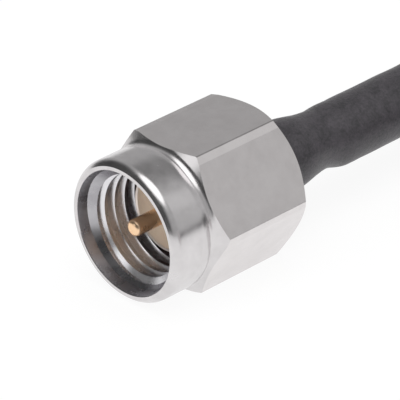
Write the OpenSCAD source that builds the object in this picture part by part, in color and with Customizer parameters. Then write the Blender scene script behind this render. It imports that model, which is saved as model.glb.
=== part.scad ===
// Straight SMA cable plug on a thin coaxial lead, with the same plug on the lead's far end.
// The plug lies on a flat of its hexagon coupling nut.
// Frame: millimetres, +Z up. The axis of the plug is Y, its mouth opens towards -Y and the
// cable leaves towards +Y. The origin is on that axis, in the mating plane of the outer contact.
// A "station" is a distance along the axis from that plane, negative towards the mouth.

/* [Coupling nut] */
// Length of the nut from its front edge to its rear face
nut_length = 9.17; // [8.6:0.01:9.8]
// Width of the hexagon across its flats
nut_across_flats = 8; // [7.9:0.05:9]
// Diameter of the round sleeve in front of the hexagon
sleeve_diameter = 7.9; // [7.4:0.05:7.95]
// Length of the round sleeve
sleeve_length = 2.87; // [1.5:0.01:4]
// Distance from the nut's front edge back to the mating plane
mouth_recess = 2.95; // [2.7:0.05:3.4]
// Diameter of the counterbore at the mouth, where the mating jack enters
mouth_diameter = 6.9; // [6.5:0.05:7.2]
// Depth of that counterbore, behind which a chamfer leads down to the thread
mouth_depth = 0.6; // [0.3:0.05:0.9]
// Chamfer on the outer front edge of the sleeve
sleeve_edge = 0.22; // [0.05:0.01:0.3]
// Angle between the front chamfer of the hexagon and a plane across the axis
front_chamfer_angle = 30; // [15:1:45]
// Angle between the rear chamfer of the hexagon and a plane across the axis
rear_chamfer_angle = 40; // [15:1:45]

/* [Thread] */
// Minor diameter of the inch thread inside the nut, which the plain bore has
thread_minor_diameter = 5.66; // [5.5:0.01:5.8]
// Distance from the end of the thread back to the gasket
thread_setback = 0.3; // [0.2:0.05:0.8]

/* [Body] */
// Diameter of the nose that makes the outer contact
nose_diameter = 4.59; // [4.5:0.01:4.7]
// Length of the nose from the mating plane back to the flange
nose_length = 2.7; // [2.65:0.05:3.2]
// Diameter of the flange that the nut turns on
flange_diameter = 6.3; // [6.1:0.01:6.4]
// Station of the flange's rear face
flange_end = 5.6; // [5.3:0.05:5.8]
// Outer diameter of the solder collar behind the flange
collar_diameter = 3.15; // [2.6:0.01:3.4]
// Station of the collar's rear end
collar_end = 8.4; // [7.5:0.05:8.6]
// Thickness of the wall between the insulators and the collar's bore
web_thickness = 0.8; // [0.4:0.05:1]
// Diameter of the window that solder is fed through
solder_window_diameter = 0.8; // [0.4:0.05:1]
// Distance from the flange's rear face to the middle of the solder window
solder_window_setback = 1.4; // [0.8:0.05:1.8]

/* [Retaining ring] */
// Radial width of the split ring
ring_width = 0.7; // [0.5:0.05:0.8]
// Thickness of the split ring along the axis
ring_thickness = 0.5; // [0.3:0.05:0.6]
// Station of the middle of the split ring
ring_station = 4.2; // [3.9:0.05:4.5]
// Width of the gap where the ring is split
ring_gap = 1.2; // [0.6:0.1:2]
// How deep the ring's groove in the flange is
flange_groove_depth = 0.55; // [0.45:0.01:0.6]

/* [Gasket] */
// Thickness of the gasket in front of the flange
gasket_thickness = 0.8; // [0.5:0.05:0.9]
// Gap between the rim of the gasket and the bore of the nut
gasket_rim_gap = 0.2; // [0.1:0.01:0.4]

/* [Insulators] */
// Diameter of the insulators, which is the bore of the nose
insulator_diameter = 4.1; // [3.9:0.01:4.2]
// Length of the front insulator, from the mating plane
front_insulator_length = 2.6; // [2.2:0.05:3]
// Length of the rear insulator behind it
rear_insulator_length = 1.8; // [1.4:0.05:2]

/* [Centre contact] */
// Diameter of the pin that enters the mating socket
pin_diameter = 0.92; // [0.88:0.01:0.94]
// Length of the pin in front of the mating plane
pin_length = 2.3; // [2:0.05:2.5]
// Height of the rounded tip of the pin
pin_tip = 0.2; // [0.15:0.01:0.4]
// Diameter of the shank inside the insulators
shank_diameter = 1.27; // [1.24:0.01:1.4]
// Length of the shank behind the mating plane
shank_length = 3.8; // [3.4:0.05:4]
// Diameter of the collar that keeps the contact in place
contact_collar_diameter = 1.84; // [1.6:0.01:2.2]
// Thickness of that collar
contact_collar_thickness = 0.5; // [0.3:0.05:0.7]
// Depth of the socket that the conductor is soldered into
solder_cup_depth = 2; // [1:0.05:2.4]

/* [Cable] */
// Outer diameter of the cable
cable_diameter = 2.8; // [2.6:0.05:2.9]
// Diameter of the stranded inner conductor
conductor_diameter = 0.48; // [0.3:0.01:0.52]
// Diameter of the cable's own insulation
dielectric_diameter = 1.5; // [1.3:0.01:1.55]
// Thickness of the braided screen
braid_thickness = 0.27; // [0.15:0.01:0.3]
// Length of bare braid between the collar and the cut end of the jacket
bare_braid = 4.1; // [3.5:0.05:4.6]
// Mean radius of the coil that the spare cable is wound into
coil_radius = 14.4; // [14:0.1:17]

/* [Heat-shrink sleeve] */
// Wall of the sleeve after shrinking
shrink_wall = 0.42; // [0.3:0.01:0.5]
// Station of the sleeve's rear end
shrink_end = 21.8; // [16:0.1:22]
// Outer diameter of the waist, where the sleeve lies over the bare braid
waist_diameter = 3.34; // [3.2:0.01:3.5]
// Distance from the collar's rear end back to the waist
waist_setback = 2.65; // [2.4:0.05:3]
// Distance from the flange's rear face to the front end of the sleeve
shrink_setback = 0.3; // [0.1:0.05:0.8]

/* [Clearances] */
// Gap all round between the flange and the nut that turns on it
running_gap = 0.05; // [0.02:0.01:0.09]
// Gap between the split ring and each groove that it lies in
ring_clearance = 0.1; // [0.05:0.01:0.15]
// Gap all round between pieces that are pressed or slid together
fit_gap = 0.01; // [0.005:0.001:0.02]
// Gap all round between the gasket or the sleeve and what it lies on
soft_gap = 0.02; // [0.01:0.005:0.04]

/* [Hidden] */
$fn = 96;

// Coupling nut
nut_front = -mouth_recess;
nut_rear = nut_front + nut_length;
hex_front = nut_front + sleeve_length;
flat_r = nut_across_flats / 2;
corner_r = flat_r / cos(30);
sleeve_r = sleeve_diameter / 2;
mouth_r = mouth_diameter / 2;
thread_r = thread_minor_diameter / 2;
rear_bevel = 0.15;
thread_end = nose_length - gasket_thickness - thread_setback;

// Body
nose_r = nose_diameter / 2;
flange_r = flange_diameter / 2;
nut_bore_r = flange_r + running_gap;
collar_r = collar_diameter / 2;
flange_bevel = 0.2;
body_groove_r = flange_r - flange_groove_depth;

// Retaining ring, which spans from the groove in the flange into the groove in the nut
ring_inner_r = body_groove_r + ring_clearance;
ring_outer_r = ring_inner_r + ring_width;
nut_groove_r = ring_outer_r + ring_clearance;
ring_front = ring_station - ring_thickness / 2;
ring_rear = ring_station + ring_thickness / 2;
body_groove_front = ring_front - ring_clearance / 2;
body_groove_rear = ring_rear + ring_clearance / 2;
nut_groove_front = ring_front - ring_clearance;
nut_groove_rear = ring_rear + ring_clearance;

// Insulators and centre contact
insulator_r = insulator_diameter / 2;
insulator_end = front_insulator_length + rear_insulator_length;
pin_r = pin_diameter / 2;
shank_r = shank_diameter / 2;
contact_collar_r = contact_collar_diameter / 2;
contact_collar_front = front_insulator_length - contact_collar_thickness;

// Cable, stripped in steps inside the plug
cable_r = cable_diameter / 2;
conductor_r = conductor_diameter / 2;
dielectric_r = dielectric_diameter / 2;
braid_r = dielectric_r + fit_gap + braid_thickness;
collar_bore_r = braid_r + soft_gap;
solder_cup_r = conductor_r + 3 * fit_gap;
braid_front = insulator_end + web_thickness;
jacket_end = collar_end + bare_braid;
solder_fillet_r = (collar_r + collar_bore_r) / 2;
solder_fillet_length = 0.6;

// Heat-shrink sleeve
shrink_front = flange_end + shrink_setback;
shrink_collar_r = collar_r + soft_gap + shrink_wall;
shrink_waist_r = waist_diameter / 2;
shrink_cable_r = cable_r + soft_gap + shrink_wall;
shrink_waist = collar_end + waist_setback;
shrink_bend_steps = 8;

// Free length of the cable: it sinks from the plug to the floor, is wound into a coil and
// comes back level to the far plug. The points are chosen by hand.
floor_z = -flat_r;
coil_centre = [coil_radius + cable_r, 36];
coil_strand_rise = cable_diameter * sin(60);
far_axis_x = coil_centre.x + coil_radius;
far_exit_y = 23.5;
far_plug = [far_axis_x, far_exit_y - shrink_end, 0];
lead_in_route = [[0, shrink_end, 0], [0, 22.8, 0], [0, 24.5, -0.1], [0, 26.5, -0.5],
                 [0, 28.5, -1], [0, 29.5, -1.3]];
lead_out_route = [[far_axis_x, 29, 0.3], [far_axis_x, 26.5, 0.2], [far_axis_x, 24.5, 0],
                  [far_axis_x, far_exit_y, 0]];
route_sides = 8;

// A solid of revolution on the plug's axis, from a section of [radius, station] points
module turned(section) {
    rotate([-90, 0, 0]) rotate_extrude() polygon(section);
}

// A round tube on the plug's axis
module sleeve(inner_r, outer_r, front, rear) {
    turned([[inner_r, front], [outer_r, front], [outer_r, rear], [inner_r, rear]]);
}

// Smooth step from 0 to 1
function ease(t) = (1 - cos(180 * t)) / 2;

// Unit vector along the route at its point i
function heading(route, i) =
    let (a = route[max(i - 1, 0)], b = route[min(i + 1, len(route) - 1)])
    (b - a) / norm(b - a);

// Ring of points around the route's point i, with a flat side below
function route_ring(route, i) =
    let (along = heading(route, i), side = cross(along, [0, 0, 1]) / norm(cross(along, [0, 0, 1])),
         up = cross(side, along))
    [for (k = [0 : route_sides - 1])
        let (turn = (k + 0.5) * 360 / route_sides)
        route[i] + cable_r * (cos(turn) * side + sin(turn) * up)];

// A length of cable along a route
module cable_tube(route) {
    last = len(route) - 1;
    points = [for (i = [0 : last]) each route_ring(route, i)];
    walls = [for (i = [0 : last - 1], k = [0 : route_sides - 1])
        let (next = (k + 1) % route_sides)
        [i * route_sides + k, i * route_sides + next,
         (i + 1) * route_sides + next, (i + 1) * route_sides + k]];
    front = [for (k = [0 : route_sides - 1]) route_sides - 1 - k];
    rear = [for (k = [0 : route_sides - 1]) last * route_sides + k];
    polyhedron(points = points, faces = concat([front, rear], walls));
}

// Nut: one turned section, cut to a hexagon behind the round sleeve
module coupling_nut() {
    front_chamfer = (corner_r - sleeve_r) * tan(front_chamfer_angle);
    rear_chamfer = (corner_r - flat_r) * tan(rear_chamfer_angle);
    mouth_rear = nut_front + mouth_depth;
    lead_in = mouth_r - thread_r;
    thread_runout = nut_bore_r - thread_r;
    color("silver") intersection() {
        turned([
            [mouth_r, nut_front], [sleeve_r - sleeve_edge, nut_front],
            [sleeve_r, nut_front + sleeve_edge], [sleeve_r, hex_front],
            [corner_r, hex_front + front_chamfer],
            [corner_r, nut_rear - rear_chamfer], [flat_r, nut_rear],
            [nut_bore_r + rear_bevel, nut_rear], [nut_bore_r, nut_rear - rear_bevel],
            [nut_bore_r, nut_groove_rear], [nut_groove_r, nut_groove_rear],
            [nut_groove_r, nut_groove_front], [nut_bore_r, nut_groove_front],
            [nut_bore_r, thread_end + thread_runout], [thread_r, thread_end],
            [thread_r, mouth_rear + lead_in], [mouth_r, mouth_rear]
        ]);
        rotate([-90, 0, 0]) union() {
            translate([0, 0, nut_front]) cylinder(r = corner_r, h = sleeve_length);
            translate([0, 0, hex_front])
                cylinder(r = corner_r, h = nut_length - sleeve_length, $fn = 6);
        }
    }
}

// Split spring ring that keeps the nut on the body and lets it turn
module retaining_ring() {
    color("darkgoldenrod") difference() {
        sleeve(ring_inner_r, ring_outer_r, ring_front, ring_rear);
        translate([0, ring_station, ring_outer_r])
            cube([ring_gap, 2 * ring_thickness, 2 * ring_outer_r], center = true);
    }
}

// Rubber gasket around the foot of the nose
module gasket() {
    color("firebrick")
        sleeve(nose_r + soft_gap, nut_bore_r - gasket_rim_gap,
               nose_length - gasket_thickness, nose_length);
}

// Body: nose, flange with the ring's groove, and solder collar, turned in one piece
module connector_body() {
    color("gainsboro") difference() {
        turned([
            [insulator_r + fit_gap, 0], [nose_r, 0], [nose_r, nose_length],
            [flange_r, nose_length], [flange_r, body_groove_front],
            [body_groove_r, body_groove_front], [body_groove_r, body_groove_rear],
            [flange_r, body_groove_rear], [flange_r, flange_end - flange_bevel],
            [flange_r - flange_bevel, flange_end], [collar_r, flange_end],
            [collar_r, collar_end], [collar_bore_r, collar_end],
            [collar_bore_r, braid_front], [dielectric_r + fit_gap, braid_front],
            [dielectric_r + fit_gap, insulator_end], [insulator_r + fit_gap, insulator_end]
        ]);
        translate([0, flange_end + solder_window_setback, 0])
            cylinder(d = solder_window_diameter, h = collar_diameter);
    }
}

// Front insulator, flush with the nose, with a recess for the contact's collar
module front_insulator() {
    color("ivory") turned([
        [shank_r + fit_gap, 0], [insulator_r, 0], [insulator_r, front_insulator_length],
        [contact_collar_r + fit_gap, front_insulator_length],
        [contact_collar_r + fit_gap, contact_collar_front],
        [shank_r + fit_gap, contact_collar_front]
    ]);
}

// Rear insulator, which closes the recess and guides the end of the cable
module rear_insulator() {
    color("ivory") turned([
        [shank_r + fit_gap, front_insulator_length], [insulator_r, front_insulator_length],
        [insulator_r, insulator_end], [dielectric_r + fit_gap, insulator_end],
        [dielectric_r + fit_gap, shank_length], [shank_r + fit_gap, shank_length]
    ]);
}

// Centre contact: pin with a rounded tip, shank with its collar, and solder cup
module centre_contact() {
    tip_steps = 6;
    tip = [for (i = [0 : tip_steps])
        let (turn = 90 * i / tip_steps)
        [pin_r - pin_tip * (1 - sin(turn)), -pin_length + pin_tip * (1 - cos(turn))]];
    color("gold") turned(concat([[0, -pin_length]], tip, [
        [pin_r, 0], [shank_r, 0], [shank_r, contact_collar_front],
        [contact_collar_r, contact_collar_front], [contact_collar_r, front_insulator_length],
        [shank_r, front_insulator_length], [shank_r, shank_length],
        [solder_cup_r, shank_length], [solder_cup_r, shank_length - solder_cup_depth],
        [0, shank_length - solder_cup_depth]
    ]));
}

// Cone of solder between the collar's rear end and the braid
module solder_fillet() {
    color("lightgray") turned([
        [braid_r + fit_gap, collar_end], [solder_fillet_r, collar_end],
        [braid_r + fit_gap, collar_end + solder_fillet_length]
    ]);
}

// End of the inner conductor, from the solder cup to the jacket's cut end
module cable_conductor() {
    color("peru") turned([
        [0, shank_length - solder_cup_depth], [conductor_r, shank_length - solder_cup_depth],
        [conductor_r, jacket_end], [0, jacket_end]
    ]);
}

// End of the cable's own insulation, cut off behind the contact
module cable_dielectric() {
    color("whitesmoke") sleeve(conductor_r + fit_gap, dielectric_r, shank_length, jacket_end);
}

// End of the braided screen, soldered into the collar
module cable_braid() {
    color("lightsteelblue") sleeve(dielectric_r + fit_gap, braid_r, braid_front, jacket_end);
}

// End of the jacketed cable, from its cut end to the end of the sleeve
module cable_jacket_end() {
    color("dimgray") turned([
        [0, jacket_end], [cable_r, jacket_end], [cable_r, shrink_end], [0, shrink_end]
    ]);
}

// Heat-shrink sleeve over the collar, the bare braid and the start of the cable
module heat_shrink_sleeve() {
    steps = [for (i = [1 : shrink_bend_steps]) i / shrink_bend_steps];
    neck = [for (t = steps)
        [shrink_collar_r + (shrink_waist_r - shrink_collar_r) * ease(t),
         collar_end + (shrink_waist - collar_end) * t]];
    swell = [for (t = steps)
        [shrink_waist_r + (shrink_cable_r - shrink_waist_r) * ease(t),
         shrink_waist + (jacket_end - shrink_waist) * t]];
    outside = concat([[shrink_collar_r, shrink_front], [shrink_collar_r, collar_end]],
                     neck, swell, [[shrink_cable_r, shrink_end]]);
    inside = [for (i = [len(outside) - 1 : -1 : 0]) outside[i] - [shrink_wall, 0]];
    color("dimgray") turned(concat(outside, inside));
}

// Closed outer form of the coil: two turns side by side on the floor and one on top
module cable_coil() {
    reach = cable_diameter;
    top = floor_z + cable_diameter + coil_strand_rise;
    color("dimgray") translate([coil_centre.x, coil_centre.y, 0]) rotate_extrude()
        polygon([
            [coil_radius - reach, floor_z + cable_r / 2],
            [coil_radius - reach + cable_r / 2, floor_z],
            [coil_radius + reach - cable_r / 2, floor_z],
            [coil_radius + reach, floor_z + cable_r / 2],
            [coil_radius + reach, floor_z + cable_diameter - cable_r / 2],
            [coil_radius + cable_r, top - cable_r / 2], [coil_radius + cable_r / 2, top],
            [coil_radius - cable_r / 2, top], [coil_radius - cable_r, top - cable_r / 2],
            [coil_radius - reach, floor_z + cable_diameter - cable_r / 2]
        ]);
}

module cable_lead_in() {
    color("dimgray") cable_tube(lead_in_route);
}

module cable_lead_out() {
    color("dimgray") cable_tube(lead_out_route);
}

coupling_nut();
retaining_ring();
gasket();
connector_body();
front_insulator();
rear_insulator();
centre_contact();
solder_fillet();
cable_conductor();
cable_dielectric();
cable_braid();
cable_jacket_end();
heat_shrink_sleeve();
cable_lead_in();
cable_coil();
cable_lead_out();
translate(far_plug) coupling_nut();  // far_coupling_nut
translate(far_plug) retaining_ring();  // far_retaining_ring
translate(far_plug) gasket();  // far_gasket
translate(far_plug) connector_body();  // far_connector_body
translate(far_plug) front_insulator();  // far_front_insulator
translate(far_plug) rear_insulator();  // far_rear_insulator
translate(far_plug) centre_contact();  // far_centre_contact
translate(far_plug) solder_fillet();  // far_solder_fillet
translate(far_plug) cable_conductor();  // far_cable_conductor
translate(far_plug) cable_dielectric();  // far_cable_dielectric
translate(far_plug) cable_braid();  // far_cable_braid
translate(far_plug) cable_jacket_end();  // far_cable_jacket_end
translate(far_plug) heat_shrink_sleeve();  // far_heat_shrink_sleeve
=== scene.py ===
import math

import bmesh
import bpy
from mathutils import Matrix, Vector, noise


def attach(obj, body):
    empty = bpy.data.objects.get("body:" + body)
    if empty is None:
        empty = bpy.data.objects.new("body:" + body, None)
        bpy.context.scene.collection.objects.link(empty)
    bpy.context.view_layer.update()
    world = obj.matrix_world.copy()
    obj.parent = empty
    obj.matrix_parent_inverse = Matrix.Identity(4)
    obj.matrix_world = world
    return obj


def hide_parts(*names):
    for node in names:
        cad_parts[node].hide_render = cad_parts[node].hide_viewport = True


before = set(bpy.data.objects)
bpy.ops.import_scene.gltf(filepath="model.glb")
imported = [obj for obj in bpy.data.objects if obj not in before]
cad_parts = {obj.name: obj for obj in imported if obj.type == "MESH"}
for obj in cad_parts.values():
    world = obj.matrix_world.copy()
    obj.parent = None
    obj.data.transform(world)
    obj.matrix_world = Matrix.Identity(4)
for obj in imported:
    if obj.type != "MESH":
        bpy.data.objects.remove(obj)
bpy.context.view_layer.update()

# ---------------------------------------------------------------------------------------------
# Camera: a long lens that looks down on the mouth of the plug from its front right. It aims
# a little beside the plug's axis and leans slightly. Its shift and depth of field stay off.
# ---------------------------------------------------------------------------------------------
MM = 0.001
camera_azimuth = math.radians(46.53)
camera_elevation = math.radians(28.94)
camera_roll = math.radians(-1.60)
camera_distance = 160 * MM
lens_length = 278.2
film_width = 36
aim_station = 1.55
aim_to_right = 0.716
aim_upwards = 0.136
level_right = Vector((math.cos(camera_azimuth), math.sin(camera_azimuth), 0))
camera_back = Vector((math.sin(camera_azimuth) * math.cos(camera_elevation),
                      -math.cos(camera_azimuth) * math.cos(camera_elevation),
                      math.sin(camera_elevation)))
level_up = camera_back.cross(level_right)
camera_right = level_right * math.cos(camera_roll) + level_up * math.sin(camera_roll)
camera_up = level_up * math.cos(camera_roll) - level_right * math.sin(camera_roll)
aim_point = (Vector((0, aim_station, 0)) * MM + camera_right * aim_to_right * MM
             + camera_up * aim_upwards * MM)
camera_data = bpy.data.cameras.new("camera")
camera_data.lens = lens_length
camera_data.sensor_width = film_width
camera_data.clip_start = 1 * MM
camera_data.clip_end = 20
camera = bpy.data.objects.new("camera", camera_data)
turn = Matrix((camera_right, camera_up, camera_back)).transposed().to_4x4()
camera.matrix_world = Matrix.Translation(aim_point + camera_back * camera_distance) @ turn
bpy.context.scene.collection.objects.link(camera)
bpy.context.scene.camera = camera
bpy.context.scene.view_settings.view_transform = "Standard"

# ---------------------------------------------------------------------------------------------
# Lead: 2.8 mm coaxial cable with a black extruded jacket, about 0.25 m long between the plugs.
# It sinks to the table, is wound into two turns side by side and half a turn on top of them,
# and comes back level to the far plug. It is made as one smooth curve.
# ---------------------------------------------------------------------------------------------
CABLE_R = 1.4
PLUG_REAR = 21.8
FAR_PLUG = Vector((30.2, 1.7, 0))
stub_step = 0.5
sink_from = 22.8
sink_over = 12.7
sinking_stations = (23.8, 25, 26.5, 28, 29.5, 31, 32.5, 34)
coil_middle = Vector((15.8, 36, 0))
coil_outer_r = 15.8
coil_inner_r = 13.0
coil_top_r = 14.4
coil_starts = 180
inner_turn_from = -60
inner_turn_middle = -300
climb_from = -380
climb_over = 90
top_turn_from = -420
settle_from = -470
settle_over = 70
coil_ends = -720
coil_step = 15
turn_change = 105
on_table = -2.58
over_the_strand = 0.25
in_the_groove = -0.175
lift_off = 0.45
lift_over = 6
lifting_distances = (1.5, 3, 4.5, 6, 7.5)
level_from = 8
level_over = 4
levelling_distances = (9, 10, 11, 12, 12.5)
JACKET_BLACK = (0.016, 0.016, 0.018)
JACKET_GREY = (0.030, 0.030, 0.033)


def ease(t):
    """Smooth step from 0 to 1."""
    t = min(max(t, 0.0), 1.0)
    return (1 - math.cos(math.pi * t)) / 2


def between(a, b, t):
    """Value that changes smoothly from a to b."""
    return a + (b - a) * ease(t)


def coil_point(degrees):
    """Point of the coil's line, which is wound clockwise and so through falling angles."""
    if degrees > inner_turn_middle:
        radius = between(coil_outer_r, coil_inner_r, (inner_turn_from - degrees) / turn_change)
    else:
        radius = between(coil_inner_r, coil_top_r, (top_turn_from - degrees) / turn_change)
    height = between(on_table, over_the_strand, (climb_from - degrees) / climb_over)
    if degrees < settle_from:
        height = between(over_the_strand, in_the_groove, (settle_from - degrees) / settle_over)
    angle = math.radians(degrees)
    return coil_middle + Vector((radius * math.cos(angle), radius * math.sin(angle), height))


lead_line = [Vector((0, PLUG_REAR + stub_step * k, 0)) for k in range(3)]
lead_line += [Vector((0, station, between(0, on_table, (station - sink_from) / sink_over)))
              for station in sinking_stations]
lead_line += [coil_point(degrees) for degrees in range(coil_starts, coil_ends - 1, -coil_step)]
lead_line += [coil_point(coil_ends) - Vector((0, past, 0))
              + Vector((0, 0, between(0, lift_off, past / lift_over)))
              for past in lifting_distances]
lead_line += [Vector((FAR_PLUG.x, coil_middle.y - past,
                      between(in_the_groove + lift_off, 0, (past - level_from) / level_over)))
              for past in levelling_distances]
lead_curve = bpy.data.curves.new("cable", "CURVE")
lead_curve.dimensions = "3D"
lead_curve.resolution_u = 6
lead_curve.bevel_depth = CABLE_R * MM
lead_curve.bevel_resolution = 8
lead_curve.use_fill_caps = True
lead_spline = lead_curve.splines.new("BEZIER")
lead_spline.bezier_points.add(len(lead_line) - 1)
for knot, place in zip(lead_spline.bezier_points, lead_line):
    knot.co = place * MM
    knot.handle_left_type = "AUTO"
    knot.handle_right_type = "AUTO"
cable = bpy.data.objects.new("cable", lead_curve)
bpy.context.scene.collection.objects.link(cable)


def new_material(name):
    """Material, its node tree and its Principled shader."""
    material = bpy.data.materials.new(name)
    material.use_nodes = True
    shader = material.node_tree.nodes["Principled BSDF"]
    return material, material.node_tree, shader


def set_inputs(tree, node, **inputs):
    """Links each input of a node, called by its name or as i0, i1, or gives it a value."""
    for name, value in inputs.items():
        numbered = name[0] == "i" and name[1:].isdigit()
        socket = node.inputs[int(name[1:]) if numbered else name.replace("_", " ")]
        if isinstance(value, bpy.types.NodeSocket):
            tree.links.new(value, socket)
        else:
            socket.default_value = value


def add_node(tree, kind, settings=None, **inputs):
    """New node with its settings and its inputs."""
    node = tree.nodes.new(kind)
    for name, value in (settings or {}).items():
        setattr(node, name, value)
    set_inputs(tree, node, **inputs)
    return node


def ramp(tree, value, *stops):
    """Colour ramp over a value, from two (place, colour) stops."""
    node = add_node(tree, "ShaderNodeValToRGB", Fac=value)
    for element, (place, colour) in zip(node.color_ramp.elements, stops):
        element.position = place
        element.color = (*colour, 1)
    return node.outputs["Color"]


def in_millimetres(tree, plug_axis=(0, 0, 0)):
    """Object coordinates in millimetres, moved so that the plug's axis is at the middle."""
    place = add_node(tree, "ShaderNodeTexCoord")
    centred = add_node(tree, "ShaderNodeMapping", Vector=place.outputs["Object"],
                       Location=tuple(-s for s in plug_axis), Scale=(1 / MM, 1 / MM, 1 / MM))
    return centred.outputs["Vector"]


def cable_jacket(name="cable_jacket"):
    """Black extruded plastic: satin, with a faint grain and a few dull patches."""
    material, tree, shader = new_material(name)
    place = in_millimetres(tree)
    patches = add_node(tree, "ShaderNodeTexNoise", Vector=place, Scale=0.7, Detail=3)
    grain = add_node(tree, "ShaderNodeTexNoise", Vector=place, Scale=14, Detail=4, Roughness=0.6)
    colour = ramp(tree, patches.outputs["Fac"], (0.35, JACKET_BLACK), (0.7, JACKET_GREY))
    dullness = add_node(tree, "ShaderNodeMapRange", Value=patches.outputs["Fac"],
                        From_Min=0.3, From_Max=0.7, To_Min=0.34, To_Max=0.5)
    bump = add_node(tree, "ShaderNodeBump", Height=grain.outputs["Fac"], Strength=0.25,
                    Distance=0.02 * MM)
    set_inputs(tree, shader, Base_Color=colour, Roughness=dullness.outputs["Result"],
               Normal=bump.outputs["Normal"])
    return material


lead_curve.materials.append(cable_jacket())
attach(cable, "plug")
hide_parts("cable_lead_in", "cable_coil", "cable_lead_out")

# ---------------------------------------------------------------------------------------------
# Table and light: a seamless pale board under a grey studio and one wide soft lamp overhead.
# Only metal shows the studio's black cards and pale panels. The board shows white, but throws
# back no more light on the plug than plain pale board does.
# ---------------------------------------------------------------------------------------------
table_level = -4
half_of_table = 4
BOARD_DARK = (0.78, 0.78, 0.78)
BOARD_PALE = (0.80, 0.80, 0.80)
SHADED_SHARE = (0.14, 0.14, 0.14, 1)
board_glow = 0.89
STUDIO_GREY = 0.45
ROOM_LIGHT = 0.64
RECESS_LIGHT = 0.75
BACKDROP_WHITE = 1.0
third_bounce = 2.5
lamp_place = (0.152, -0.032, 0.58)
lamp_width = 0.6
lamp_power = 1.2

table_mesh = bpy.data.meshes.new("table")
board = bmesh.new()
bmesh.ops.create_grid(board, x_segments=1, y_segments=1, size=half_of_table)
bmesh.ops.translate(board, verts=board.verts, vec=(0, 0, table_level * MM))
board.to_mesh(table_mesh)
board.free()
table = bpy.data.objects.new("table", table_mesh)
bpy.context.scene.collection.objects.link(table)

pale_board = bpy.data.materials.new("pale_board")
pale_board.use_nodes = True
tree = pale_board.node_tree
tree.nodes.clear()
rays = add_node(tree, "ShaderNodeLightPath")
seen = add_node(tree, "ShaderNodeMath", {"operation": "MAXIMUM"},
                i0=rays.outputs["Is Camera Ray"], i1=rays.outputs["Is Glossy Ray"])
seen = add_node(tree, "ShaderNodeMath", {"operation": "MAXIMUM"},
                i0=seen.outputs[0], i1=rays.outputs["Is Transmission Ray"])
fibres = add_node(tree, "ShaderNodeTexNoise", Vector=in_millimetres(tree), Scale=0.4, Detail=4)
board_colour = ramp(tree, fibres.outputs["Fac"], (0.3, BOARD_DARK), (0.7, BOARD_PALE))
plain = add_node(tree, "ShaderNodeBsdfDiffuse", Color=board_colour)
shadowed = add_node(tree, "ShaderNodeBsdfDiffuse", Color=SHADED_SHARE)
white = add_node(tree, "ShaderNodeEmission", Color=(1, 1, 1, 1), Strength=board_glow)
shown = add_node(tree, "ShaderNodeAddShader", i0=shadowed.outputs[0], i1=white.outputs[0])
mixed = add_node(tree, "ShaderNodeMixShader", i0=seen.outputs[0], i1=plain.outputs[0],
                 i2=shown.outputs[0])
add_node(tree, "ShaderNodeOutputMaterial", Surface=mixed.outputs[0])
table_mesh.materials.append(pale_board)

panel = bpy.data.node_groups.new("studio_panel", "ShaderNodeTree")
for name, kind in (("Direction", "NodeSocketVector"), ("Towards", "NodeSocketVector"),
                   ("Middle", "NodeSocketFloat"), ("Edge", "NodeSocketFloat"),
                   ("Level", "NodeSocketFloat"), ("Behind", "NodeSocketFloat")):
    panel.interface.new_socket(name, in_out="INPUT", socket_type=kind)
panel.interface.new_socket("Result", in_out="OUTPUT", socket_type="NodeSocketFloat")
panel_in = add_node(panel, "NodeGroupInput").outputs
toward = add_node(panel, "ShaderNodeVectorMath", {"operation": "DOT_PRODUCT"},
                  i0=panel_in["Direction"], i1=panel_in["Towards"])
share = add_node(panel, "ShaderNodeMapRange", {"interpolation_type": "SMOOTHSTEP"},
                 Value=toward.outputs["Value"], From_Min=panel_in["Edge"],
                 From_Max=panel_in["Middle"])
level = add_node(panel, "ShaderNodeMix", {"data_type": "FLOAT"}, i0=share.outputs[0],
                 i2=panel_in["Behind"], i3=panel_in["Level"])
panel_out = add_node(panel, "NodeGroupOutput")
panel.links.new(level.outputs[0], panel_out.inputs[0])

# Azimuth and elevation of the middle, half angles of the even part and of the faded rim, all
# in degrees, and brightness. A later one covers an earlier one. Azimuth 0 faces the mouth.
studio_panels = {
    "black card at the left": (-50, 18, 40, 62, 0.07),
    "black card in front": (5, 18, 42, 62, 0.07),
    "grey strip on the left card": (-47, 12, 7, 15, 0.20),
    "window between the cards": (-14, 20, 8, 15, 1.4),
    "pale wall behind the nut": (142, 4, 8, 42, 0.60),
    "dim corner up behind": (-163, 51, 8, 29, 0.25),
    "pale panel up behind": (138, 35, 6, 15, 0.74),
}
world = bpy.data.worlds.new("studio")
world.use_nodes = True
bpy.context.scene.world = world
tree = world.node_tree
tree.nodes.clear()
direction = add_node(tree, "ShaderNodeTexCoord").outputs["Generated"]
studio = STUDIO_GREY
for azimuth, elevation, middle, edge, brightness in studio_panels.values():
    sideways = math.radians(azimuth)
    upwards = math.radians(elevation)
    node = add_node(tree, "ShaderNodeGroup", {"node_tree": panel}, Direction=direction,
                    Towards=(math.sin(sideways) * math.cos(upwards),
                             -math.cos(sideways) * math.cos(upwards), math.sin(upwards)),
                    Middle=math.cos(math.radians(middle)), Edge=math.cos(math.radians(edge)),
                    Level=brightness, Behind=studio)
    studio = node.outputs[0]
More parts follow.
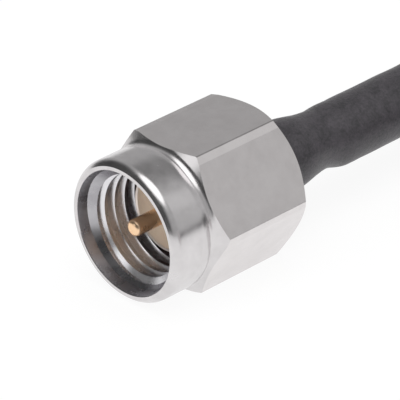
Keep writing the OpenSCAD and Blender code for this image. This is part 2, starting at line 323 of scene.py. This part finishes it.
# Matt surfaces are lit by an even room. So is what light meets after two bounces in the mouth.
rays = add_node(tree, "ShaderNodeLightPath")
even = add_node(tree, "ShaderNodeMix", {"data_type": "FLOAT"},
                i0=rays.outputs["Is Diffuse Ray"], i2=studio, i3=ROOM_LIGHT)
recess = add_node(tree, "ShaderNodeMath", {"operation": "GREATER_THAN"},
                  i0=rays.outputs["Ray Depth"], i1=third_bounce)
filled = add_node(tree, "ShaderNodeMix", {"data_type": "FLOAT"}, i0=recess.outputs[0],
                  i2=even.outputs[0], i3=RECESS_LIGHT)
strength = add_node(tree, "ShaderNodeMix", {"data_type": "FLOAT"},
                    i0=rays.outputs["Is Camera Ray"], i2=filled.outputs[0], i3=BACKDROP_WHITE)
backdrop = add_node(tree, "ShaderNodeBackground", Color=(1, 1, 1, 1),
                    Strength=strength.outputs[0])
add_node(tree, "ShaderNodeOutputWorld", Surface=backdrop.outputs[0])

lamp_data = bpy.data.lights.new("overhead_softbox", "AREA")
lamp_data.shape = "DISK"
lamp_data.size = lamp_width
lamp_data.energy = lamp_power
lamp = bpy.data.objects.new("overhead_softbox", lamp_data)
lamp.location = lamp_place
lamp.rotation_euler = Vector(lamp_place).to_track_quat("Z", "Y").to_euler()
bpy.context.scene.collection.objects.link(lamp)

# ---------------------------------------------------------------------------------------------
# Coupling nut: plated steel, turned from 8 mm hexagon bar, with a round sleeve in front, an
# undercut between sleeve and hexagon, a countersunk mouth and a tapped 1/4-36 thread. It turns
# on the split ring that lies in its groove and in that of the body's flange.
# ---------------------------------------------------------------------------------------------
TURNS = 2 * math.pi
PLUGS = (("", Vector((0, 0, 0))), ("far_", FAR_PLUG))
nut_front = -2.95
mouth_r = 3.45
mouth_land_r = 3.48
mouth_starts = -2.92
mouth_rear = -2.35
inside_r = 3.47
inside_starts = -2.93
front_land_r = 3.68
rounding_starts = (3.76, -2.87)
rounding_slopes = range(42, 0, -3)
rounding_step = 0.0362
sleeve_r = 3.95
undercut_slope = [(sleeve_r, -1.0), (3.946, -0.88), (3.934, -0.77), (3.915, -0.67),
                  (3.892, -0.57)]
neck_r = 3.87
neck_station = -0.467
fillet_r = 0.5
fillet_angles = range(0, 61, 5)
blank_r = 4.9
front_chamfer_ends = 0.468
rear_chamfer_starts = 5.465
flat_r = 4.0
hex_rear = 6.22
bore_r = 3.2
rear_bore_r = 3.35
rear_bore_starts = 6.07
ring_groove_r = 3.5
ring_groove = (3.85, 4.55)
thread_runout = (1.6, 1.97)
thread_mouth_r = 3.32
thread_mouth_ends = -1.86
thread_pitch = 25.4 / 36
thread_major_r = 3.175
thread_minor_r = 2.83
thread_starts = -4.556
thread_ends = 1.9
TURNED, DRAWN, TAPPED, BORED = range(4)


def turned(section, steps=128, closed=True):
    """Solid of revolution about the plug's axis, from a section of (radius, station) points."""
    work = bmesh.new()
    points = [work.verts.new((radius, station, 0)) for radius, station in section]
    lines = [work.edges.new(pair) for pair in zip(points, points[1:])]
    if closed:
        lines.append(work.edges.new((points[-1], points[0])))
    bmesh.ops.spin(work, geom=points + lines, cent=(0, 0, 0), axis=(0, 1, 0), angle=TURNS,
                   steps=steps, use_merge=True)
    bmesh.ops.remove_doubles(work, verts=work.verts, dist=1e-5)
    bmesh.ops.recalc_face_normals(work, faces=work.faces)
    return work


def soften(work, width, segments=2, angle=25):
    """Breaks the sharp edges of a mesh, as a light file or tumbling does."""
    limit = math.radians(angle)
    sharp = [edge for edge in work.edges if edge.is_manifold and edge.calc_face_angle() > limit]
    bmesh.ops.bevel(work, geom=sharp, offset=width, offset_type="OFFSET", segments=segments,
                    profile=0.5, affect="EDGES", material=-1, clamp_overlap=True)


def cut(work, tool, operation):
    """Exact Boolean of two meshes, which keeps each one's material numbers."""
    pair = []
    for name, part in (("stock", work), ("tool", tool)):
        mesh = bpy.data.meshes.new(name)
        part.to_mesh(mesh)
        part.free()
        for finish in (TURNED, DRAWN, TAPPED, BORED):
            mesh.materials.append(None)
        pair.append(bpy.data.objects.new(name, mesh))
        bpy.context.scene.collection.objects.link(pair[-1])
    step = pair[0].modifiers.new("cut", "BOOLEAN")
    step.object = pair[1]
    step.operation = operation
    step.solver = "EXACT"
    depsgraph = bpy.context.evaluated_depsgraph_get()
    made = bmesh.new()
    made.from_object(pair[0], depsgraph)
    for item in pair:
        mesh = item.data
        bpy.data.objects.remove(item)
        bpy.data.meshes.remove(mesh)
    return made


def fit(work, name, materials, bodies=("plug", "plug"), sharp=30):
    """Puts the finished mesh on both plugs, in metres, in place of the CAD node of its name."""
    bmesh.ops.scale(work, verts=work.verts, vec=(MM, MM, MM))
    for (prefix, offset), body, finishes in zip(PLUGS, bodies, materials):
        mesh = bpy.data.meshes.new(prefix + name)
        work.to_mesh(mesh)
        mesh.transform(Matrix.Translation(offset * MM))
        mesh.polygons.foreach_set("use_smooth", [True] * len(mesh.polygons))
        mesh.set_sharp_from_angle(angle=math.radians(sharp))
        for finish in finishes:
            mesh.materials.append(finish)
        piece = bpy.data.objects.new(prefix + name + "_finished", mesh)
        bpy.context.scene.collection.objects.link(piece)
        shading = piece.modifiers.new("even_shading", "WEIGHTED_NORMAL")
        shading.keep_sharp = True
        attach(piece, body)
        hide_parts(prefix + name)
    work.free()


rounded_edge = [rounding_starts]
for slope in rounding_slopes:
    radius, station = rounded_edge[-1]
    rounded_edge.append((radius + rounding_step * math.sin(math.radians(slope)),
                         station + rounding_step * math.cos(math.radians(slope))))
undercut = undercut_slope + [(neck_r + fillet_r * (1 - math.cos(math.radians(t))),
                              neck_station + fillet_r * math.sin(math.radians(t)))
                             for t in fillet_angles]
blank = turned([(mouth_land_r, nut_front), (front_land_r, nut_front)] + rounded_edge + undercut + [
    (blank_r, front_chamfer_ends), (blank_r, rear_chamfer_starts), (flat_r, hex_rear),
    (rear_bore_r, hex_rear), (bore_r, rear_bore_starts), (bore_r, ring_groove[1]),
    (ring_groove_r, ring_groove[1]), (ring_groove_r, ring_groove[0]), (bore_r, ring_groove[0]),
    (bore_r, thread_runout[1]), (thread_minor_r, thread_runout[0]),
    (thread_minor_r, thread_mouth_ends), (thread_mouth_r, mouth_rear), (mouth_r, mouth_starts)],
    steps=192)

# Each side of the drawn bar is a flat with a narrow facet beside one of its corners.
facet_corner = (-2.229, 3.998)
facet_ends = -2.10
flat_ends = 1.90
bar_front = nut_front - 1
bar_length = 12
least_corner = math.radians(15)
corner_rounding = 0.06
bar = bmesh.new()
rim = []
for side in range(6):
    facing = Matrix.Rotation(-math.radians(60 * side + 30), 3, "Y")
    for across, height in (facet_corner, (facet_ends, flat_r), (flat_ends, flat_r)):
        rim.append(bar.verts.new(facing @ Vector((height, bar_front, across))))
section = bar.faces.new(rim)
drawn = bmesh.ops.extrude_face_region(bar, geom=[section])["geom"]
drawn_verts = [item for item in drawn if isinstance(item, bmesh.types.BMVert)]
bmesh.ops.translate(bar, verts=drawn_verts, vec=(0, bar_length, 0))
long_edges = [edge for edge in bar.edges if edge.is_manifold
              and abs((edge.verts[0].co - edge.verts[1].co).normalized().y) > 0.9
              and edge.calc_face_angle() > least_corner]
bmesh.ops.bevel(bar, geom=long_edges, offset=corner_rounding, segments=8, profile=0.5,
                affect="EDGES", material=-1)
bmesh.ops.recalc_face_normals(bar, faces=bar.faces)
for face in bar.faces:
    face.material_index = DRAWN
nut = cut(blank, bar, "INTERSECT")

# The tap is a winding of sixty-degree teeth with flat crests, closed at both ends.
overlap = 0.02
tap_front = nut_front - 0.3
steps_a_turn = 96
tap_turns = 10
half_tooth_angle = math.radians(30)
tap = bmesh.new()
flank = (thread_major_r - thread_minor_r + overlap) * math.tan(half_tooth_angle)
crest = thread_pitch / 8
root_r = thread_minor_r - overlap
tooth = [(root_r, 0), (thread_major_r, flank), (thread_major_r, flank + crest),
         (root_r, 2 * flank + crest), (root_r, thread_pitch)]
points = [tap.verts.new((radius, thread_starts + station, 0)) for radius, station in tooth]
lines = [tap.edges.new(pair) for pair in zip(points, points[1:])]
bmesh.ops.spin(tap, geom=points + lines, cent=(0, 0, 0), axis=(0, 1, 0), angle=TURNS * tap_turns,
               dvec=(0, thread_pitch / steps_a_turn, 0), steps=steps_a_turn * tap_turns,
               use_merge=False)
bmesh.ops.remove_doubles(tap, verts=tap.verts, dist=1e-4)
for station, forward in ((tap_front, -1), (thread_ends, 1)):
    whole = tap.verts[:] + tap.edges[:] + tap.faces[:]
    bmesh.ops.bisect_plane(tap, geom=whole, plane_co=(0, station, 0), plane_no=(0, forward, 0),
                           clear_outer=True)
    rim = [edge for edge in tap.edges if edge.is_boundary
           and all(abs(vert.co.y - station) < 1e-5 for vert in edge.verts)]
    bmesh.ops.contextual_create(tap, geom=rim)
bmesh.ops.recalc_face_normals(tap, faces=tap.faces)
for face in tap.faces:
    face.material_index = TAPPED
nut = cut(nut, tap, "DIFFERENCE")
bmesh.ops.remove_doubles(nut, verts=nut.verts, dist=1e-5)
bmesh.ops.dissolve_degenerate(nut, edges=nut.edges, dist=1e-5)
# Turned faces inside the nut take the bored finish, painted darker than the outside: painted shade
# of the mouth and bore.
for face in nut.faces:
    middle = face.calc_center_median()
    inside = math.hypot(middle.x, middle.z) < inside_r and middle.y > inside_starts
    if face.material_index == TURNED and inside:
        face.material_index = BORED

drawn_stretch = 0.04
marks = bpy.data.node_groups.new("tool_marks", "ShaderNodeTree")
for name, kind in (("Vector", "NodeSocketVector"), ("Fineness", "NodeSocketFloat"),
                   ("Drawn", "NodeSocketFloat")):
    marks.interface.new_socket(name, in_out="INPUT", socket_type=kind)
for name in ("Lines", "Patches"):
    marks.interface.new_socket(name, in_out="OUTPUT", socket_type="NodeSocketFloat")
marks_in = add_node(marks, "NodeGroupInput").outputs
parts = add_node(marks, "ShaderNodeSeparateXYZ", Vector=marks_in["Vector"])
flat_place = add_node(marks, "ShaderNodeCombineXYZ", X=parts.outputs["X"], Z=parts.outputs["Z"])
from_axis = add_node(marks, "ShaderNodeVectorMath", {"operation": "LENGTH"},
                     i0=flat_place.outputs[0])
ringwise = add_node(marks, "ShaderNodeCombineXYZ", X=from_axis.outputs["Value"],
                    Y=parts.outputs["Y"])
squeezed = add_node(marks, "ShaderNodeMath", {"operation": "MULTIPLY"}, i0=parts.outputs["Y"],
                    i1=drawn_stretch)
lengthwise = add_node(marks, "ShaderNodeCombineXYZ", X=parts.outputs["X"],
                      Y=squeezed.outputs[0], Z=parts.outputs["Z"])
chosen = add_node(marks, "ShaderNodeMix", {"data_type": "VECTOR"}, i0=marks_in["Drawn"],
                  i4=ringwise.outputs[0], i5=lengthwise.outputs[0])
fine = add_node(marks, "ShaderNodeTexNoise", Vector=chosen.outputs[1],
                Scale=marks_in["Fineness"], Detail=3, Roughness=0.65)
patchy = add_node(marks, "ShaderNodeTexNoise", Vector=marks_in["Vector"], Scale=0.9, Detail=4,
                  Roughness=0.6)
marks_out = add_node(marks, "NodeGroupOutput")
marks.links.new(fine.outputs["Fac"], marks_out.inputs["Lines"])
marks.links.new(patchy.outputs["Fac"], marks_out.inputs["Patches"])


def plated_metal(name, shift, dark, light, dull, fineness=9.0, drawn=0.0, depth=0.0006):
    """Plated metal with the marks of the lathe, or of drawing the bar, and a slight tarnish."""
    material, tree, shader = new_material(name)
    finish = add_node(tree, "ShaderNodeGroup", {"node_tree": marks},
                      Vector=in_millimetres(tree, shift), Fineness=fineness, Drawn=drawn)
    colour = ramp(tree, finish.outputs["Patches"], (0.35, dark), (0.65, light))
    roughness = add_node(tree, "ShaderNodeMapRange", Value=finish.outputs["Patches"],
                         From_Min=0.3, From_Max=0.7, To_Min=dull[0], To_Max=dull[1])
    bump = add_node(tree, "ShaderNodeBump", Height=finish.outputs["Lines"], Strength=1.0,
                    Distance=depth * MM)
    set_inputs(tree, shader, Base_Color=colour, Roughness=roughness.outputs["Result"],
               Normal=bump.outputs["Normal"], Metallic=1.0)
    return material


nut_turned = {"dark": (0.64, 0.62, 0.625), "light": (0.72, 0.70, 0.705), "dull": (0.20, 0.28),
              "depth": 0.0009}
nut_drawn = {"dark": (0.69, 0.66, 0.66), "light": (0.75, 0.72, 0.72), "dull": (0.17, 0.25),
             "fineness": 4.0, "drawn": 1.0, "depth": 0.0004}
nut_thread = {"dark": (0.76, 0.75, 0.77), "light": (0.84, 0.83, 0.85), "dull": (0.22, 0.30)}
# The bored finish is the same plating with a darker colour: painted shade inside the nut's mouth
# and bore.
nut_bore_painted_shade = {"dark": (0.40, 0.39, 0.41), "light": (0.52, 0.51, 0.53), "dull": (0.24, 0.32),
            "fineness": 6.0}
nut_finishes = [[plated_metal(prefix + "nut_turned", offset, **nut_turned),
                 plated_metal(prefix + "nut_drawn", offset, **nut_drawn),
                 plated_metal(prefix + "nut_thread", offset, **nut_thread),
                 plated_metal(prefix + "nut_bore_painted_shade", offset, **nut_bore_painted_shade)]
                for prefix, offset in PLUGS]
fit(nut, "coupling_nut", nut_finishes, ("nut", "far_nut"), sharp=8)

# ---------------------------------------------------------------------------------------------
# Body: nose, flange and solder collar, turned in one piece and plated. The nose makes the
# outer contact. The solder window is drilled through the collar from above.
# ---------------------------------------------------------------------------------------------
nose_r = 2.295
nose_bore_r = 2.06
nose_land = (2.18, 2.22)
nose_bevel_ends = 0.13
nose_taper_ends = 0.3
nose_rear = 2.7
flange_r = 3.15
flange_rear = 5.6
flange_bevel = 0.2
flange_groove_r = 2.6
flange_groove = (3.9, 4.5)
insulators_rear = 4.4
conductor_hole_r = 0.76
collar_r = 1.575
collar_bore_r = 1.05
collar_bore_starts = 5.2
collar_rear = 8.4
window_r = 0.4
window_station = 7
drill_length = 3
body_silver = {"dark": (0.93, 0.84, 0.78), "light": (0.98, 0.90, 0.84), "dull": (0.36, 0.44)}

body = turned([
    (nose_bore_r, nose_bevel_ends), (nose_land[0], 0), (nose_land[1], 0),
    (nose_r, nose_taper_ends), (nose_r, nose_rear),
    (flange_r, nose_rear), (flange_r, flange_groove[0]), (flange_groove_r, flange_groove[0]),
    (flange_groove_r, flange_groove[1]), (flange_r, flange_groove[1]),
    (flange_r, flange_rear - flange_bevel), (flange_r - flange_bevel, flange_rear),
    (collar_r, flange_rear), (collar_r, collar_rear),
    (collar_bore_r, collar_rear), (collar_bore_r, collar_bore_starts),
    (conductor_hole_r, collar_bore_starts), (conductor_hole_r, insulators_rear),
    (nose_bore_r, insulators_rear)])
soften(body, width=0.015)
drill = bmesh.new()
bmesh.ops.create_cone(drill, cap_ends=True, segments=32, radius1=window_r, radius2=window_r,
                      depth=drill_length)
bmesh.ops.translate(drill, verts=drill.verts, vec=(0, window_station, drill_length / 2))
body = cut(body, drill, "DIFFERENCE")
body_finishes = [[plated_metal(prefix + "body_plating", offset, **body_silver)]
                 for prefix, offset in PLUGS]
fit(body, "connector_body", body_finishes)

# ---------------------------------------------------------------------------------------------
# Retaining ring: a split ring of spring bronze. It snaps into the groove of the flange and
# stands into the groove of the nut, so the nut turns but stays on. It is left as it was cut.
# ---------------------------------------------------------------------------------------------
bare_bronze = {"dark": (0.50, 0.32, 0.15), "light": (0.62, 0.42, 0.22), "dull": (0.25, 0.35)}
for prefix, offset in PLUGS:
    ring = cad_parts[prefix + "retaining_ring"]
    ring.data.materials.clear()
    ring.data.materials.append(plated_metal(prefix + "spring_bronze", offset, **bare_bronze))

# ---------------------------------------------------------------------------------------------
# Gasket: a moulded ring of red-brown silicone rubber, slipped over the nose against the flange.
# The end of the mating jack presses on it.
# ---------------------------------------------------------------------------------------------
gasket_bore_r = 2.315
gasket_r = 3.0
gasket_front = 1.9
RUBBER_DARK = (0.34, 0.10, 0.07)
RUBBER_BLOOM = (0.50, 0.20, 0.15)

gasket = turned([(gasket_bore_r, gasket_front), (gasket_r, gasket_front), (gasket_r, nose_rear),
                 (gasket_bore_r, nose_rear)], steps=96)
soften(gasket, width=0.12, segments=4)


def silicone_rubber(name, shift):
    """Moulded rubber: dull red-brown with a light bloom and a fine grain."""
    material, tree, shader = new_material(name)
    place = in_millimetres(tree, shift)
    bloom = add_node(tree, "ShaderNodeTexNoise", Vector=place, Scale=2.2, Detail=4)
    grain = add_node(tree, "ShaderNodeTexNoise", Vector=place, Scale=30, Detail=2)
    colour = ramp(tree, bloom.outputs["Fac"], (0.35, RUBBER_DARK), (0.7, RUBBER_BLOOM))
    bump = add_node(tree, "ShaderNodeBump", Height=grain.outputs["Fac"], Strength=0.4,
                    Distance=0.01 * MM)
    set_inputs(tree, shader, Base_Color=colour, Normal=bump.outputs["Normal"], Roughness=0.55)
    return material


fit(gasket, "gasket", [[silicone_rubber(prefix + "silicone", offset)]
                       for prefix, offset in PLUGS])

# ---------------------------------------------------------------------------------------------
# Insulators: two rings of white fluoropolymer, turned from rod and pressed into the nose one
# behind the other. The front one is seen around the pin. They trap the contact's collar.
# ---------------------------------------------------------------------------------------------
insulator_r = 2.05
insulators_meet = 2.6
shank_hole_r = 0.645
collar_seat_r = 0.93
collar_seat_front = 2.1
rear_recess_r = 0.76
rear_recess_front = 3.8
# The plastic is off-white; the warm tan of these colours is painted light, reflected from the gold
# pin and the red-brown gasket.
RESIN_DARK = (0.84, 0.66, 0.50)
RESIN_LIGHT = (0.93, 0.75, 0.58)


def fluoropolymer(name, shift):
    """Waxy off-white plastic, tinted warm by painted reflected light: light passes a little way
    into it, with faint turning rings.
    """
    material, tree, shader = new_material(name)
    place = in_millimetres(tree, shift)
    finish = add_node(tree, "ShaderNodeGroup", {"node_tree": marks}, Vector=place,
                      Fineness=6.0, Drawn=0.0)
    colour = ramp(tree, finish.outputs["Patches"], (0.3, RESIN_DARK), (0.7, RESIN_LIGHT))
    bump = add_node(tree, "ShaderNodeBump", Height=finish.outputs["Lines"], Strength=0.6,
                    Distance=0.004 * MM)
    set_inputs(tree, shader, Base_Color=colour, Normal=bump.outputs["Normal"], Roughness=0.42,
               Subsurface_Weight=0.25, Subsurface_Radius=(1.0, 0.8, 0.6),
               Subsurface_Scale=0.3 * MM)
    return material


white_rings = [[fluoropolymer(prefix + "fluoropolymer", offset)] for prefix, offset in PLUGS]
front_insulator = turned([
    (shank_hole_r, 0), (insulator_r, 0), (insulator_r, insulators_meet),
    (collar_seat_r, insulators_meet), (collar_seat_r, collar_seat_front),
    (shank_hole_r, collar_seat_front)], steps=96)
soften(front_insulator, width=0.03)
fit(front_insulator, "front_insulator", white_rings)
rear_insulator = turned([
    (shank_hole_r, insulators_meet), (insulator_r, insulators_meet),
    (insulator_r, insulators_rear), (rear_recess_r, insulators_rear),
    (rear_recess_r, rear_recess_front), (shank_hole_r, rear_recess_front)], steps=64)
soften(rear_insulator, width=0.03)
fit(rear_insulator, "rear_insulator", white_rings)

# ---------------------------------------------------------------------------------------------
# Centre contact: a turned brass pin with a rounded tip, gold-plated all over. The cable's inner
# conductor is soldered into the cup at its rear, and its collar sits between the insulators.
# ---------------------------------------------------------------------------------------------
pin_r = 0.46
pin_front = -2.3
tip_rounding = 0.24
shank_r = 0.635
shank_rear = 3.8
contact_collar_r = 0.92
cup_r = 0.27
cup_floor = 1.8
bright_gold = {"dark": (0.92, 0.60, 0.36), "light": (0.98, 0.70, 0.46), "dull": (0.24, 0.32),
               "fineness": 12.0}

pin_tip = [(pin_r - tip_rounding * (1 - math.sin(math.radians(t))),
            pin_front + tip_rounding * (1 - math.cos(math.radians(t))))
           for t in range(0, 91, 10)]
contact = turned([(0, pin_front)] + pin_tip + [
    (pin_r, 0), (shank_r, 0), (shank_r, collar_seat_front), (contact_collar_r, collar_seat_front),
    (contact_collar_r, insulators_meet), (shank_r, insulators_meet), (shank_r, shank_rear),
    (cup_r, shank_rear), (cup_r, cup_floor), (0, cup_floor)], steps=64, closed=False)
soften(contact, width=0.025, angle=40)
gold = [[plated_metal(prefix + "gold_plate", offset, **bright_gold)] for prefix, offset in PLUGS]
fit(contact, "centre_contact", gold)

# ---------------------------------------------------------------------------------------------
# End of the cable: the stranded conductor, its insulation, the woven screen and the jacket are
# cut back in steps, and the screen is soldered into the collar. The heat-shrink covers it all.
# ---------------------------------------------------------------------------------------------
copper = {"dark": (0.45, 0.20, 0.10), "light": (0.85, 0.48, 0.30), "rise": 4.0, "bundles": 7.0}
tinned = {"dark": (0.30, 0.30, 0.31), "light": (0.72, 0.72, 0.73), "rise": 6.0, "bundles": 16.0}
frozen_solder = {"dark": (0.60, 0.61, 0.62), "light": (0.72, 0.73, 0.74), "dull": (0.2, 0.4)}


def stranded(name, shift, dark, light, rise, bundles):
    """Bundles of wire wound round the axis both ways, drawn as ridges that cross, with painted
    shade in the grooves.
    """
    material, tree, shader = new_material(name)
    place = in_millimetres(tree, shift)
    parts = add_node(tree, "ShaderNodeSeparateXYZ", Vector=place)
    angle = add_node(tree, "ShaderNodeMath", {"operation": "ARCTAN2"}, i0=parts.outputs["Z"],
                     i1=parts.outputs["X"])
    wound = add_node(tree, "ShaderNodeMath", {"operation": "MULTIPLY"}, i0=angle.outputs[0],
                     i1=bundles)
    phase = add_node(tree, "ShaderNodeMath", {"operation": "MULTIPLY_ADD"},
                     i0=parts.outputs["Y"], i1=rise, i2=wound.outputs[0])
    ridge = add_node(tree, "ShaderNodeMath", {"operation": "SINE"}, i0=phase.outputs[0])
    back = add_node(tree, "ShaderNodeMath", {"operation": "MULTIPLY_ADD"},
                    i0=parts.outputs["Y"], i1=-rise, i2=wound.outputs[0])
    crossing = add_node(tree, "ShaderNodeMath", {"operation": "SINE"}, i0=back.outputs[0])
    woven = add_node(tree, "ShaderNodeMath", {"operation": "MAXIMUM"}, i0=ridge.outputs[0],
                     i1=crossing.outputs[0])
    # The colour runs from dark in the grooves to light on the ridges: painted shade between the
    # wires.
    colour = ramp(tree, woven.outputs[0], (0.0, dark), (0.9, light))
    bump = add_node(tree, "ShaderNodeBump", Height=woven.outputs[0], Strength=0.8,
                    Distance=0.03 * MM)
    set_inputs(tree, shader, Base_Color=colour, Normal=bump.outputs["Normal"], Metallic=1.0,
               Roughness=0.3)
    return material


for prefix, offset in PLUGS:
    finishes = {
        "cable_conductor": stranded(prefix + "copper_strand", offset, **copper),
        "cable_braid": stranded(prefix + "tinned_braid", offset, **tinned),
        "cable_dielectric": fluoropolymer(prefix + "dielectric", offset),
        "solder_fillet": plated_metal(prefix + "solder", offset, **frozen_solder),
        "cable_jacket_end": cable_jacket(prefix + "cable_jacket_end"),
    }
    for name, finish in finishes.items():
        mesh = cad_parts[prefix + name].data
        mesh.materials.clear()
        mesh.materials.append(finish)

# ---------------------------------------------------------------------------------------------
# Heat-shrink sleeve: dark polyolefin tube, shrunk over the collar, the bare screen and the
# start of the cable. It draws in behind the collar, and its skin is slightly uneven.
# ---------------------------------------------------------------------------------------------
tube_wall = 0.42
outer_skin_r = 1.6
cut_end = 0.1
shrink_front = 5.9
over_collar_r = 2.015
waist_r = 1.67
waist_station = 11.05
over_cable_r = 1.84
over_cable_starts = 12.5
ring_counts = (12, 8, 18)
broad_swell = 0.02
broad_grain = 0.8
small_swell = 0.008
small_grain = 2.5
droop = 0.2
droop_from = 10.4
droop_over = 2.4
recover_from = 19
recover_over = 2.6
TUBE_DARK = (0.034, 0.032, 0.036)
TUBE_LIGHT = (0.084, 0.075, 0.086)

outside = [(over_collar_r, shrink_front), (over_collar_r, collar_rear)]
for count, radii, stations in (
        (ring_counts[0], (over_collar_r, waist_r), (collar_rear, waist_station)),
        (ring_counts[1], (waist_r, over_cable_r), (waist_station, over_cable_starts)),
        (ring_counts[2], (over_cable_r, over_cable_r), (over_cable_starts, PLUG_REAR))):
    outside += [(between(*radii, k / count), stations[0] + (stations[1] - stations[0]) * k / count)
                for k in range(1, count + 1)]
inside = [(radius - tube_wall, station) for radius, station in reversed(outside)]
shrink = turned(outside + inside, steps=96)
for vert in shrink.verts:
    radius = math.hypot(vert.co.x, vert.co.z)
    swell = (noise.noise(vert.co * broad_grain) * broad_swell
             + noise.noise(vert.co * small_grain) * small_swell - broad_swell)
    between_ends = shrink_front + cut_end < vert.co.y < PLUG_REAR - cut_end
    if radius > outer_skin_r and between_ends:
        vert.co.x *= 1 + swell / radius
        vert.co.z *= 1 + swell / radius
        vert.co.z -= between(0, droop, (vert.co.y - droop_from) / droop_over)
        vert.co.z += between(0, droop, (vert.co.y - recover_from) / recover_over)


def shrunk_tubing(name, shift):
    """Matt dark polyolefin, with faint mottling and a fine orange-peel skin."""
    material, tree, shader = new_material(name)
    place = in_millimetres(tree, shift)
    mottle = add_node(tree, "ShaderNodeTexNoise", Vector=place, Scale=1.3, Detail=5,
                      Roughness=0.65)
    peel = add_node(tree, "ShaderNodeTexNoise", Vector=place, Scale=7, Detail=5, Roughness=0.6)
    speckle = add_node(tree, "ShaderNodeMix", {"data_type": "FLOAT"}, i0=0.45,
                       i2=mottle.outputs["Fac"], i3=peel.outputs["Fac"])
    colour = ramp(tree, speckle.outputs[0], (0.38, TUBE_DARK), (0.62, TUBE_LIGHT))
    dullness = add_node(tree, "ShaderNodeMapRange", Value=mottle.outputs["Fac"],
                        From_Min=0.3, From_Max=0.7, To_Min=0.36, To_Max=0.48)
    bump = add_node(tree, "ShaderNodeBump", Height=peel.outputs["Fac"], Strength=0.6,
                    Distance=0.06 * MM)
    set_inputs(tree, shader, Base_Color=colour, Roughness=dullness.outputs["Result"],
               Normal=bump.outputs["Normal"])
    return material


fit(shrink, "heat_shrink_sleeve", [[shrunk_tubing(prefix + "shrink_sleeve", offset)]
                                   for prefix, offset in PLUGS])
